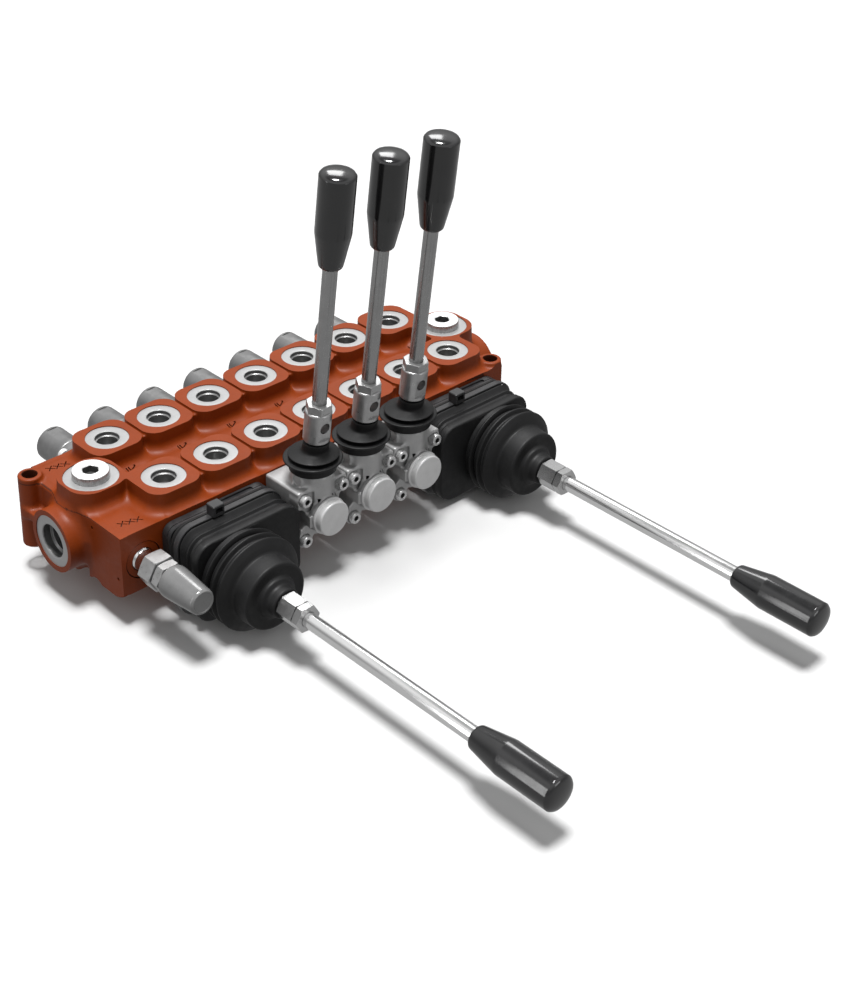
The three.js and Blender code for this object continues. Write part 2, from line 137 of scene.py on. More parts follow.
def hexagon(flats, turn=0.0):
    return circle(flats / math.sqrt(3), 6) @ np.array([[math.cos(turn), math.sin(turn)],
                                                        [-math.sin(turn), math.cos(turn)]])


def placed(outline, station, axis):
    a, b = outline[:, 0], outline[:, 1]
    s = np.full(len(a), float(station))
    return np.stack({"x": (s, a, b), "y": (a, s, b), "z": (a, b, s)}[axis], 1)


def loft(sections, axis, at=(0, 0, 0), ring=False):
    """Skins outlines of equal length at their stations. A ring closes on itself and has no end faces."""
    n, m = len(sections[0][0]), len(sections)
    verts = np.vstack([placed(np.asarray(o, float), s, axis) for o, s in sections])
    faces = []
    for k in range(m if ring else m - 1):
        a, b = k * n, (k + 1) % m * n
        faces += [(a + i, a + (i + 1) % n, b + (i + 1) % n, b + i) for i in range(n)]
    if not ring:
        faces += [tuple(range(n))[::-1], tuple(range((m - 1) * n, m * n))]
    return verts + np.array(at, float), faces


def lathe(profile, axis="z", at=(0, 0, 0), n=64):
    """Turns (radius, station) points about an axis. A profile that starts off the axis is a ring."""
    ring = profile[0][0] > 1e-6
    points = soften(profile, closed=ring)
    verts, faces, rows = [], [], []
    for r, s in points:
        rows.append(range(len(verts), len(verts) + (n if r > 1e-6 else 1)))
        verts += [tuple(v) for v in placed(circle(r, n) if r > 1e-6 else np.zeros((1, 2)), s, axis)]
    pairs = list(zip(rows, rows[1:])) + ([(rows[-1], rows[0])] if ring else [])
    for a, b in pairs:
        for i in range(n):
            j = (i + 1) % n
            quad = [a[i % len(a)], a[j % len(a)], b[j % len(b)], b[i % len(b)]]
            face = tuple(dict.fromkeys(quad))
            if len(face) > 2:
                faces.append(face)
    return np.array(verts) + np.array(at, float), faces


def box(low, high):
    (x0, y0, z0), (x1, y1, z1) = low, high
    outline = np.array([(x0, y0), (x1, y0), (x1, y1), (x0, y1)])
    return loft([(outline, z0), (outline, z1)], "z")


def turned_part(part, pivot, angle):
    """Turns a part about an axis along X through (y, z)."""
    v = part[0].copy()
    y, z = v[:, 1] - pivot[0], v[:, 2] - pivot[1]
    v[:, 1] = pivot[0] + y * math.cos(angle) - z * math.sin(angle)
    v[:, 2] = pivot[1] + y * math.sin(angle) + z * math.cos(angle)
    return v, part[1]


def temp_object(part, name="temp"):
    mesh = bpy.data.meshes.new(name)
    mesh.from_pydata([tuple(v) for v in part[0]], [], [tuple(f) for f in part[1]])
    work = bmesh.new()
    work.from_mesh(mesh)
    bmesh.ops.recalc_face_normals(work, faces=work.faces)
    work.to_mesh(mesh)
    work.free()
    made = bpy.data.objects.new(name, mesh)
    bpy.context.scene.collection.objects.link(made)
    return made


def taken(made):
    """The part that an object's modifiers give. The object goes."""
    mesh = bpy.data.meshes.new_from_object(
        made.evaluated_get(bpy.context.evaluated_depsgraph_get()))
    verts = np.zeros(len(mesh.vertices) * 3)
    mesh.vertices.foreach_get("co", verts)
    faces = [tuple(p.vertices) for p in mesh.polygons]
    bpy.data.objects.remove(made)
    bpy.data.meshes.remove(mesh)
    return verts.reshape(-1, 3), faces


def boolean(part, tool, operation="DIFFERENCE"):
    made, other = temp_object(part), temp_object(tool)
    modifier = made.modifiers.new("cut", "BOOLEAN")
    modifier.operation, modifier.solver, modifier.object = operation, "MANIFOLD", other
    result = taken(made)
    bpy.data.objects.remove(other)
    if not len(result[0]):
        raise RuntimeError("a cut left nothing")
    return result


def piece(name, part, materials, body, nodes=(), angle=32, pick=None, ride=True,
          weighted=True):
    """One finished piece in metres: shaded, with its material, on its body."""
    made = temp_object((np.asarray(part[0]) * MM, part[1]), name)
    mesh = made.data
    materials = materials if isinstance(materials, (list, tuple)) else [materials]
    for m in materials:
        mesh.materials.append(m)
    if pick is not None:
        for p in mesh.polygons:
            p.material_index = pick(*(c / MM for c in p.center))
    mesh.shade_smooth()
    mesh.set_sharp_from_angle(angle=math.radians(angle))
    if weighted:
        modifier = made.modifiers.new("normals", "WEIGHTED_NORMAL")
        modifier.keep_sharp = True
    if ride:
        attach(made, body)
    if nodes:
        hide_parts(*nodes)
    return made


# ---- Distance fields: cast shapes with soft roots ----

def blend_union(a, b, k):
    h = np.clip(0.5 + 0.5 * (b - a) / k, 0, 1)
    return b * (1 - h) + a * h - k * h * (1 - h)


def carve(a, b, k):
    return -blend_union(-a, b, k)


def field_box(p, low, high, radius):
    centre, half = (np.array(low) + high) / 2, (np.array(high, float) - low) / 2
    q = [np.abs(p[i] - centre[i]) - half[i] + radius for i in range(3)]
    outside = np.sqrt(sum(np.maximum(c, 0) ** 2 for c in q))
    deepest = np.maximum(np.maximum(q[0], q[1]), q[2])
    return outside + np.minimum(deepest, 0) - radius


def field_slab(flat, along):
    """A shape with distance `flat` across its axis and `along` past its ends."""
    outside = np.sqrt(np.maximum(flat, 0) ** 2 + np.maximum(along, 0) ** 2)
    return outside + np.minimum(np.maximum(flat, along), 0)


def field_boss(p, x, y, width, depth, corner, low, high, draft=0.03):
    grow = draft * (high - p[2])
    qx = np.abs(p[0] - x) - width / 2 - grow + corner
    qy = np.abs(p[1] - y) - depth / 2 - grow + corner
    flat = np.hypot(np.maximum(qx, 0), np.maximum(qy, 0)) + np.minimum(np.maximum(qx, qy), 0)
    return field_slab(flat - corner, np.maximum(low - p[2], p[2] - high))


def field_rod(p, axis, centre, radius, low, high):
    i, j = [k for k in range(3) if k != axis]
    flat = np.hypot(p[i] - centre[0], p[j] - centre[1]) - radius
    return field_slab(flat, np.maximum(low - p[axis], p[axis] - high))


def surface(field, low, high, step):
    """A closed mesh on the field's zero, one vertex a cell, then moved onto the true surface."""
    axes = [np.arange(low[i], high[i] + step, step, dtype=np.float32) for i in range(3)]
    grid = np.meshgrid(*axes, indexing="ij", sparse=True)
    value = np.broadcast_to(field(grid), tuple(len(a) for a in axes)).astype(np.float32)
    inside = value < 0
    corners = [(i, j, k) for i in (0, 1) for j in (0, 1) for k in (0, 1)]
    n = value.shape

    def corner(array, c):
        return array[c[0]:n[0] - 1 + c[0], c[1]:n[1] - 1 + c[1], c[2]:n[2] - 1 + c[2]]

    count = sum(corner(inside, c).astype(np.int8) for c in corners)
    cells = np.argwhere((count > 0) & (count < 8))
    index = np.full(tuple(s - 1 for s in n), -1, np.int64)
    index[tuple(cells.T)] = np.arange(len(cells))
    values = {c: value[tuple((cells + c).T)] for c in corners}
    total, hits = np.zeros((len(cells), 3)), np.zeros(len(cells))
    for a in corners:
        for axis in range(3):
            if a[axis]:
                continue
            b = tuple(1 if i == axis else a[i] for i in range(3))
            cross = (values[a] < 0) != (values[b] < 0)
            share = np.where(cross, values[a] / np.where(cross, values[a] - values[b], 1), 0)
            point = np.array(a, float) + share[:, None] * np.eye(3)[axis]
            total += np.where(cross[:, None], point, 0)
            hits += cross
    verts = np.array([a[0] for a in axes]) + (cells + total / hits[:, None]) * step
    for _ in range(3):
        p = [verts[:, i] for i in range(3)]
        here, h = field(p), 0.05
        slope = np.stack([(field([p[j] + (h if j == i else 0) for j in range(3)]) - here) / h
                          for i in range(3)], 1)
        move = -here[:, None] * slope / np.maximum((slope ** 2).sum(1), 0.25)[:, None]
        verts = verts + np.clip(move, -0.35 * step, 0.35 * step)
    faces = []
    for axis in range(3):
        u, v = (axis + 1) % 3, (axis + 2) % 3
        a = [slice(None)] * 3
        b = [slice(None)] * 3
        a[axis], b[axis] = slice(0, -1), slice(1, None)
        edges = np.argwhere(inside[tuple(a)] != inside[tuple(b)])
        du, dv = np.eye(3, dtype=int)[u], np.eye(3, dtype=int)[v]
        quad = np.stack([index[tuple((edges - i * du - j * dv).T)]
                         for i, j in ((1, 1), (0, 1), (0, 0), (1, 0))], 1)
        flip = inside[tuple(a)][tuple(edges.T)]
        quad[~flip] = quad[~flip][:, ::-1]
        faces += [tuple(q) for q in quad.tolist()]
    return verts, faces


def thinned(part, ratio):
    made = temp_object(part)
    modifier = made.modifiers.new("thin", "DECIMATE")
    modifier.ratio = ratio
    return taken(made)


# ---- Materials ----

class Nodes:
    """A short way to write one material's nodes."""

    def __init__(self, name):
        self.material = bpy.data.materials.new(name)
        self.material.use_nodes = True
        self.tree = self.material.node_tree
        self.shader = self.tree.nodes["Principled BSDF"]
        coordinates = self.tree.nodes.new("ShaderNodeTexCoord")
        self.place = coordinates.outputs["Object"]

    def link(self, source, target):
        self.tree.links.new(source, target)

    def scaled(self, scale):
        node = self.tree.nodes.new("ShaderNodeMapping")
        node.inputs["Scale"].default_value = scale
        self.link(self.place, node.inputs["Vector"])
        return node.outputs["Vector"]

    def noise(self, scale, detail=3.0, rough=0.55, vector=None):
        node = self.tree.nodes.new("ShaderNodeTexNoise")
        node.inputs["Scale"].default_value = scale
        node.inputs["Detail"].default_value = detail
        node.inputs["Roughness"].default_value = rough
        self.link(self.place if vector is None else vector, node.inputs["Vector"])
        return node.outputs["Fac"]

    def ranged(self, value, low, high, from_low=0.3, from_high=0.7):
        node = self.tree.nodes.new("ShaderNodeMapRange")
        for key, number in (("From Min", from_low), ("From Max", from_high),
                            ("To Min", low), ("To Max", high)):
            node.inputs[key].default_value = number
        self.link(value, node.inputs["Value"])
        return node.outputs["Result"]

    def mixed(self, share, a, b):
        node = self.tree.nodes.new("ShaderNodeMix")
        node.data_type = "RGBA"
        self.link(share, node.inputs["Factor"])
        for key, colour in (("A", a), ("B", b)):
            socket = [s for s in node.inputs if s.name == key and s.type == "RGBA"][0]
            if isinstance(colour, tuple):
                socket.default_value = (*colour, 1)
            else:
                self.link(colour, socket)
        return [s for s in node.outputs if s.type == "RGBA"][0]

    def maths(self, operation, a, b=0.0):
        node = self.tree.nodes.new("ShaderNodeMath")
        node.operation = operation
        for socket, value in zip(node.inputs, (a, b)):
            if isinstance(value, (int, float)):
                socket.default_value = value
            else:
                self.link(value, socket)
        return node.outputs[0]

    def bump(self, height, strength, distance, before=None):
        node = self.tree.nodes.new("ShaderNodeBump")
        node.inputs["Strength"].default_value = strength
        node.inputs["Distance"].default_value = distance * MM
        self.link(height, node.inputs["Height"])
        if before is not None:
            self.link(before, node.inputs["Normal"])
        return node.outputs["Normal"]


def tint(colour, factor):
    return tuple(min(c * factor, 1.0) for c in colour)


def finish_of(name, colour, rough, metal=0.0, spread=0.1, spread_scale=60, rough_spread=0.08,
              grain=(), stretch=None, coat=0.0, specular=0.5):
    """A finish whose colour and roughness drift. Each grain is (scale, strength, depth in mm)."""
    n = Nodes(name)
    drift = n.noise(spread_scale, 4.0)
    fine = n.noise(spread_scale * 9, 2.0)
    colour_share = n.maths("ADD", n.maths("MULTIPLY", drift, 0.7), n.maths("MULTIPLY", fine, 0.3))
    n.link(n.mixed(n.ranged(colour_share, 0, 1, 0.35, 0.65), tint(colour, 1 - spread),
                   tint(colour, 1 + spread)), n.shader.inputs["Base Color"])
    vector = n.scaled(stretch) if stretch else None
    rough_noise = n.noise(spread_scale * 2.3, 3.0, 0.6, vector)
    n.link(n.ranged(rough_noise, rough - rough_spread, rough + rough_spread),
           n.shader.inputs["Roughness"])
    normal = None
    for scale, strength, depth in grain:
        normal = n.bump(n.noise(scale, 3.0, 0.6, vector), strength, depth, normal)
    if normal is not None:
        n.link(normal, n.shader.inputs["Normal"])
    n.shader.inputs["Metallic"].default_value = metal
    n.shader.inputs["Coat Weight"].default_value = coat
    n.shader.inputs["Coat Roughness"].default_value = 0.12
    n.shader.inputs["Specular IOR Level"].default_value = specular
    return n.material


PAINT = finish_of("cast_paint", (0.155, 0.0225, 0.0006), 0.5, spread=0.07, spread_scale=45,
                  rough_spread=0.07, grain=((260, 0.25, 0.35), (1300, 0.35, 0.10)), specular=0.22)
# Painted shade: a darker copy of the cast paint for the engraved grooves, the ear holes and the relief
# recess wall.
SHADE_PAINT = finish_of("painted_shade_paint", (0.05, 0.009, 0.002), 0.6, spread=0.15, spread_scale=200,
                 rough_spread=0.08, grain=((1300, 0.3, 0.06),), specular=0.2)
MACHINED = finish_of("machined_face", (0.34, 0.34, 0.34), 0.38, 0.5, 0.03, 500, 0.06,
                     grain=((2600, 0.12, 0.02),))
# Painted shade: a darker copy of the machined metal for the inside of the port bores; the stretched grain
# stands for the turned bore.
BORE_SHADE = finish_of("bore_painted_shade", (0.24, 0.24, 0.24), 0.36, 0.9, 0.12, 350, 0.08,
                 grain=((1500, 0.2, 0.03),), stretch=(1, 1, 6))
SCREW = finish_of("screw_zinc", (0.56, 0.56, 0.56), 0.30, 0.7, 0.05, 300, 0.06,
                  grain=((1500, 0.12, 0.02),))
# Painted shade: a darker copy of the plug steel for the plugs' turned sides. The vertical streaks are real
# turning marks.
PLUG_SIDE_SHADE = finish_of("plug_side_painted_shade", (0.36, 0.36, 0.36), 0.30, 0.85, 0.22, 420, 0.10,
                    grain=((900, 0.25, 0.03),), stretch=(1, 1, 0.05))
PLUG = finish_of("plug_steel", (0.84, 0.84, 0.84), 0.34, 0.6, 0.04, 260, 0.07,
                 grain=((1800, 0.12, 0.02),), stretch=(4, 4, 0.6))
CONE = finish_of("zinc_satin", (0.17, 0.17, 0.17), 0.22, 0.35, 0.06, 120, 0.05,
                 grain=((900, 0.1, 0.02),))
ZINC = finish_of("zinc_grey", (0.42, 0.42, 0.42), 0.34, 0.85, 0.08, 150, 0.08,
                 grain=((1200, 0.12, 0.03),))
ZINC_CAP = finish_of("zinc_brushed", (0.215, 0.215, 0.215), 0.38, 0.8, 0.08, 130, 0.06,
                     grain=((900, 0.16, 0.03),), stretch=(0.25, 1, 0.25))
DIE_CAST = finish_of("die_cast", (0.38, 0.38, 0.38), 0.46, 0.6, 0.07, 120, 0.08,
                     grain=((900, 0.25, 0.06), (2600, 0.2, 0.03)))
CAP_GREY = finish_of("cap_grey", (0.55, 0.55, 0.55), 0.42, 0.30, 0.05, 140, 0.07,
                     grain=((1500, 0.2, 0.04),))
RUBBER = finish_of("rubber", (0.0062, 0.0062, 0.0065), 0.55, 0, 0.14, 90, 0.08,
                   grain=((1700, 0.2, 0.03),), specular=0.26)
PLATE = finish_of("black_paint", (0.012, 0.012, 0.013), 0.38, 0, 0.15, 90, 0.08,
                  grain=((1100, 0.2, 0.03),), specular=0.5)
NYLON = finish_of("black_nylon", (0.016, 0.016, 0.017), 0.45, 0, 0.15, 200, 0.08,
                  grain=((1500, 0.2, 0.02),), specular=0.5)
KNOB = finish_of("knob_plastic", (0.010, 0.010, 0.0105), 0.16, 0, 0.2, 70, 0.04,
                 grain=((500, 0.05, 0.03),), coat=0.5)
CHROME = finish_of("chrome", (0.90, 0.90, 0.90), 0.18, 1.0, 0.02, 60, 0.02,
                   grain=((300, 0.02, 0.01),))
HEXAGON = finish_of("bright_hexagon", (0.56, 0.56, 0.56), 0.21, 1.0, 0.04, 90, 0.02,
                    grain=((400, 0.04, 0.01),))
STEEL = finish_of("rod_steel", (0.34, 0.34, 0.34), 0.24, 1.0, 0.05, 120, 0.05,
                  grain=((500, 0.04, 0.01),), stretch=(3, 3, 0.2))
# Painted shade: a dark copy of the metal for the insides of hexagon sockets.
SOCKET_SHADE = finish_of("socket_painted_shade", (0.10, 0.10, 0.10), 0.42, 0.7, 0.15, 300, 0.08,
                   grain=((1200, 0.25, 0.03),))


# ---- Casting ----

def casting_field(p):
    """The casting before it is machined. It is a little proud of its flat faces."""
    x, y, z = p
    core = field_box(p, (LEFT_X - 1, FRONT_Y - 3, -3), (RIGHT_X, REAR_Y + 3, DECK_Z), 1.4)
    wall = field_box(p, (-179, -6, -3), (-150, 48.5, DECK_Z), 2.0)
    rib = field_box(p, (-188.3, 14, 22.5), (-176, 41.5, 29.5), 1.4)
    body = blend_union(blend_union(core, wall, 2.5), rib, 3.0)
    block = field_box(p, (-178, FRONT_Y - 3, -3), (-142, -16.5, DECK_Z), 0.5)
    under = np.where(x < -140, 4.5 * np.clip((-43 - y) / 12, 0, 1.3) ** 2 - z, -50)
    block = np.maximum(block, under)
    body = np.maximum(body, np.where((x < -142) & (y < -30), under, -50))
    body = blend_union(body, block, 1.2)
    for (ex, ey) in EARS:
        taper = 8.0 + 0.012 * (EAR_TOP - z)
        flat = np.hypot(x - ex, y - ey) - taper + 1.2
        pillar = field_slab(flat, np.maximum(-3 - z, z - EAR_TOP + 1.2)) - 1.2
        body = blend_union(body, pillar, 3.5)
    for side, face, py in END_PORTS:
        low, high = sorted((face + 3 * side, side * 140))
        body = blend_union(body, field_rod(p, 0, (py, END_PORT_Z), END_BOSS_R, low, high), 6.0)
    bosses = None
    for plug_x in TOP_PLUGS.values():
        boss = field_boss(p, plug_x, PLUG_Y, 40, 39, 15, 30, PORT_Z + 3)
        bosses = boss if bosses is None else np.minimum(bosses, boss)
    nearest = x - PITCH * np.clip(np.round(x / PITCH), -3, 3)
    for row in (-ROW_Y, ROW_Y):
        boss = field_boss((nearest, y, z), 0, row, 39.6, 37.6, 11, 36, PORT_Z + 3)
        saddle = field_box(p, (-126, row - 12, 36), (126, row + 12, PORT_Z - 2.4), 0.6)
        bosses = blend_union(bosses, blend_union(boss, saddle, 1.4), 5.0)
    body = blend_union(body, bosses, 7.0)
    scallop = field_rod(p, 0, (-24, -6), 8, -190, -141.5)
    limits = field_box(p, (-193, FRONT_Y - 1, -1), (181, REAR_Y + 1, PORT_Z + 1), 0.1)
    return np.maximum(carve(body, scallop, 1.5), limits)


def stroke(a, b, z, width=0.9, depth=0.7):
    """A straight engraved line on the deck, from a to b."""
    a, b = np.array(a, float), np.array(b, float)
    along = (b - a) / np.hypot(*(b - a))
    across = np.array([-along[1], along[0]]) * width / 2
    outline = np.array([a + across, b + across, b - across, a - across])
    return loft([(outline, z - depth), (outline, z + 1)], "z")


def crosses(x, y, lean, size=2.4):
    """Three engraved crosses in a row, as two sets of parallel strokes."""
    centres = [(x + 5.2 * k, y + lean * k) for k in (-1, 0, 1)]
    return [[stroke((cx - size, cy - turn * size), (cx + size, cy + turn * size), DECK_Z, 0.8)
             for cx, cy in centres] for turn in (1, -1)]


def port_mark(x, y):
    """An engraved flow triangle with a bar behind it, as two sets of strokes."""
    tip, back = (x + 3.0, y), x - 2.2
    return ([stroke((back, y - 3.1), tip, DECK_Z), stroke((x - 4.0, y - 3.2), (x - 4.0, y + 3.2), DECK_Z)],
            [stroke((back, y + 3.1), tip, DECK_Z)], [stroke((back, y - 3.4), (back, y + 3.4), DECK_Z)])


def casting():
    """The cast shape, cut to its flat faces, then bored and engraved."""
    low = (END_PORTS[0][1] - 2.5, FRONT_Y - 2.5, -2.5)
    high = (END_PORTS[1][1] + 2.5, REAR_Y + 2.5, PORT_Z + 2.5)
    rough = thinned(surface(casting_field, low, high, 0.8), 0.3)
    shape = boolean(rough, box((END_PORTS[0][1], FRONT_Y, 0), (END_PORTS[1][1], REAR_Y, PORT_Z)),
                    "INTERSECT")
    cuts = []  # work ports and spool bores, plug seats, end ports, ear holes, relief recess, pins
    for x in SECTIONS:
        for row in (-ROW_Y, ROW_Y):
            cuts.append(lathe([(0, 64), (14.6, 64), (14.6, SPOTFACE_Z), (8.35, SPOTFACE_Z),
                               (8.35, 45.9), (0, 45.9)], "z", (x * PITCH, row, 0), 72))
        cuts.append(lathe([(0, FRONT_Y - 2), (SPOOL_BORE_R, FRONT_Y - 2),
                           (SPOOL_BORE_R, REAR_Y + 2), (0, REAR_Y + 2)],
                          "y", (x * PITCH, 0, SPOOL_Z), 40))
    for x in TOP_PLUGS.values():
        cuts.append(lathe([(0, 64), (18.1, 64), (18.1, SPOTFACE_Z), (10.7, SPOTFACE_Z),
                           (10.7, 47.9), (0, 47.9)], "z", (x, PLUG_Y, 0), 80))
    for side, face, y in END_PORTS:
        cuts.append(lathe([(0, face + 2 * side), (18, face + 2 * side), (18, face - 0.8 * side),
                           (11.7, face - 0.8 * side), (11.7, face - 17.9 * side),
                           (0, face - 17.9 * side)], "x", (0, y, END_PORT_Z), 80))
    for x, y in EARS:
        cuts.append(lathe([(0, -2), (4.9, -2), (4.9, EAR_TOP - 0.7), (5.6, EAR_TOP + 0.4),
                           (5.6, EAR_TOP + 2), (0, EAR_TOP + 2)], "z", (x, y, 0), 48))
    cuts.append(lathe([(0, FRONT_Y - 2), (13.1, FRONT_Y - 2), (13.1, FRONT_Y + 1.8),
                       (12.4, FRONT_Y + 1.8), (12.4, FRONT_Y + 0.5), (SPOOL_BORE_R, FRONT_Y + 0.5),
                       (SPOOL_BORE_R, FRONT_Y + 21.9), (0, FRONT_Y + 21.9)],
                      "y", (RELIEF_X, 0, SPOOL_Z), 72))
    for x, z in ((-142.5, 42.4), (-68.8, 42.8), (68.8, 42.8), (140.4, 43.4)):
        cuts.append(lathe([(0, FRONT_Y - 1), (1.2, FRONT_Y - 1), (1.2, FRONT_Y + 5), (0, FRONT_Y + 7)],
                          "y", (x, 0, z), 20))
    for y, z in ((-24.4, 41.6), (-50.1, 15.8)):
        cuts.append(lathe([(0, -180), (1.2, -180), (1.2, -173), (0, -171)], "x", (0, y, z), 20))
    shape = boolean(shape, merge(*cuts))
    marks = [port_mark(x * PITCH + 2.5, 8.6) for x in SECTIONS]
    front, rear = crosses(-161.7, -43, -1.2), crosses(-159.2, 41.2, -0.9)
    for k in range(3):
        strokes = [s for mark in marks for s in mark[k]]
        if k < 2:
            strokes += front[k] + rear[k]
        shape = boolean(shape, merge(*strokes))

    # Painted shade: faces in the engraved grooves' depth band, in the ear holes and on the relief recess
    # wall take the darker paint copy.
    def dark(x, y, z):
        groove = DECK_Z - 0.8 < z < DECK_Z - 0.06
        hole = any(math.hypot(x - ex, y - ey) < 5.2 for ex, ey in EARS)
        ring = y > FRONT_Y + 0.06 and 12.2 < math.hypot(x - RELIEF_X, z - SPOOL_Z) < 13.3
        return int(groove or hole or (ring and y < FRONT_Y + 3))

    piece("casting", shape, [PAINT, SHADE_PAINT], "valve", ("valve_body",), angle=38, pick=dark)


def port_liners():
    """Machined spotfaces and stepped bores of the fourteen work ports."""
    profile = [(0, 46.1), (8.3, 46.1), (8.3, 61.22), (14.55, 61.22), (14.55, 61.4, 0.1),
               (8.7, 61.4, 0.1), (8.25, 60.9, 0.1), (8.25, 58.7, 0.2), (7.1, 58.4, 0.2),
               (7.1, 52.5, 0.2), (6.6, 52.0, 0.2), (6.6, 47, 0.5), (0, 46.6)]
    liners = [lathe(profile, "z", (x * PITCH, row, 0), 72) for x in SECTIONS
              for row in (-ROW_Y, ROW_Y)]
    # Faces below the spotface take the darker bore copy: painted shade inside the bores.
    piece("port_faces", merge(*liners), [MACHINED, BORE_SHADE], "valve",
          pick=lambda x, y, z: int(z < 61.0), weighted=False)


def end_port_liners():
    for (side, face, y), tag in zip(END_PORTS, ("left", "right")):
        profile = [(0, -17.8), (11.65, -17.8), (11.65, -0.78), (17.95, -0.78), (17.95, -0.55, 0.1),
                   (12.2, -0.55, 0.15), (11.5, -1.2, 0.15), (11.5, -6.6, 0.3), (9.4, -7.2, 0.3),
                   (9.4, -14, 0.3), (8.6, -14.6, 0.3), (8.6, -17.2, 0.3), (0, -17.4)]
        profile = [(r, face + side * s, *rest) for r, s, *rest in profile]
        # Faces deeper than 1.3 mm into the port take the darker bore copy: painted shade inside the bore.
        piece(f"end_port_face_{tag}", lathe(profile, "x", (0, y, END_PORT_Z), 80),
              [MACHINED, BORE_SHADE], "valve", weighted=False,
              pick=lambda x, y, z, f=face, s=side: int((x - f) * s < -1.3))


def plug_finish(r, z):
    """Which of a plug's finishes a face has: top 0, hexagon socket 1, turned side 2. The socket and side
    are darker copies of the steel: painted shade.
    """
    if r < 7:
        return int(z < 66.6)
    return 2 if r > 11.9 and z < 66.7 else 0


def top_plugs():
    for tag, x in TOP_PLUGS.items():
        ring = lathe([(10.65, 50), (10.65, 61.22), (18.05, 61.22), (18.05, 61.4, 0.1), (10.3, 61.4, 0.2),
                      (10.3, 50)], "z", (x, PLUG_Y, 0), 80)
        piece(f"plug_seat_{tag}", ring, MACHINED, "valve", weighted=False)
        head = lathe([(0, 50), (10.0, 50, 0.8), (10.0, 61.0), (10.6, 61.5), (12.2, 61.5),
                      (12.2, 66.6, 0.7), (11.4, 67.1, 0.3), (0, 67.1)], "z", (x, PLUG_Y, 0), 96)
        socket = loft([(hexagon(10), 61.8), (hexagon(10), 66.3), (hexagon(11.2), 67.2),
                       (hexagon(11.2), 69)], "z", (x, PLUG_Y, 0))
        drill = lathe([(0, 60.2), (4.9, 61.9), (4.9, 62.2), (0, 62.2)], "z", (x, PLUG_Y, 0), 40)
        counter = lathe([(0, 66.6), (5.4, 66.6), (6.4, 67.3), (6.4, 69), (0, 69)], "z",
                        (x, PLUG_Y, 0), 48)
        for tool in (socket, drill, counter):
            head = boolean(head, tool)
        # The socket and side faces take the darker copies: painted shade.
        piece(f"plug_{tag}", head, [PLUG, SOCKET_SHADE, PLUG_SIDE_SHADE], "valve", (f"top_plug_{tag}",),
              pick=lambda px, py, pz, cx=x: plug_finish(math.hypot(px - cx, py - PLUG_Y), pz))


# ---- Relief valve ----

def hex_nut(flats, low, high, axis, at, chamfer=(True, True), bore=0.0):
    """A hexagon whose corners are turned down at the ends that `chamfer` names."""
    reach = flats / math.sqrt(3)
    body = loft([(hexagon(flats), low), (hexagon(flats), high)], axis, at)
    face, full = flats / 2 * 0.97, reach + 0.2
    drop = 0.42 * (reach - face)
    ends = [(face, low), (full, low + drop)] if chamfer[0] else [(full, low)]
    ends += [(full, high - drop), (face, high)] if chamfer[1] else [(full, high)]
    turned = lathe([(0, low)] + ends + [(0, high)], axis, at, 72)
    body = boolean(body, turned, "INTERSECT")
    if bore:
        body = boolean(body, lathe([(0, low - 1), (bore, low - 1), (bore, high + 1), (0, high + 1)],
                                   axis, at, 48))
    return body


def relief_valve():
    at = (RELIEF_X, 0, SPOOL_Z)
    stub = lathe([(0, -35), (8.0, -35), (8.0, -54.2, 0.3), (6.9, -55.6, 0.8), (6.6, -58.5, 1.0),
                  (6.9, -62, 1.0), (7.6, -64.6), (0, -64.8)], "y", at)
    thread = lathe([(0, -76.8), (4.8, -76.8), (4.8, -98.6, 0.6), (0, -98.8)], "y", at, 40)
    collar = lathe([(0, -76.9), (8.6, -76.9), (8.6, -77.5), (0, -77.5)], "y", at)
    piece("relief_stub", merge(stub, thread), CHROME, "valve", (), weighted=False)
    hexes = hex_nut(21.5, -77, -65, "y", at)
    piece("relief_hexagon", merge(hexes, collar), ZINC, "valve", ("relief_cartridge",))
    nut = hex_nut(19.5, -84.5, -77.6, "y", at, bore=5.1)
    piece("relief_nut", nut, ZINC, "valve", ("relief_locknut",))
    cap = lathe([(0, -100), (5.1, -99.6), (5.1, -84.7), (10.3, -84.7, 0.4), (11.1, -85.6, 0.5),
                 (11.1, -89.3, 1.0), (8.75, -115.0, 0.5), (7.9, -116.5, 0.4), (6.9, -116.5, 0.2),
                 (6.6, -116.1, 0.2), (0, -116.1)], "y", at, 80)
    piece("relief_cap_cone", cap, CONE, "valve", ("relief_cap",), weighted=False)


# ---- Screws and spring caps ----

def socket_screw(axis, at, seat, out, radius, length, flats):
    """A socket-head screw: its head stands `length` out from its seat, towards `out` (1 or -1)."""
    rows = [(0, -3), (radius * 0.55, -3), (radius * 0.55, 0), (radius, 0),
            (radius, length - 0.5, 0.4), (radius - 0.55, length, 0.2), (flats * 0.62, length, 0.1),
            (flats * 0.56, length - 0.4), (0, length - 0.4)]
    head = lathe([(r, seat + out * s, *rest) for r, s, *rest in rows], axis, at, 32)
    low, high = sorted((seat + out * length * 0.35, seat + out * (length + 1)))
    socket = loft([(hexagon(flats), low), (hexagon(flats), high)], axis, at)
    return boolean(head, socket)


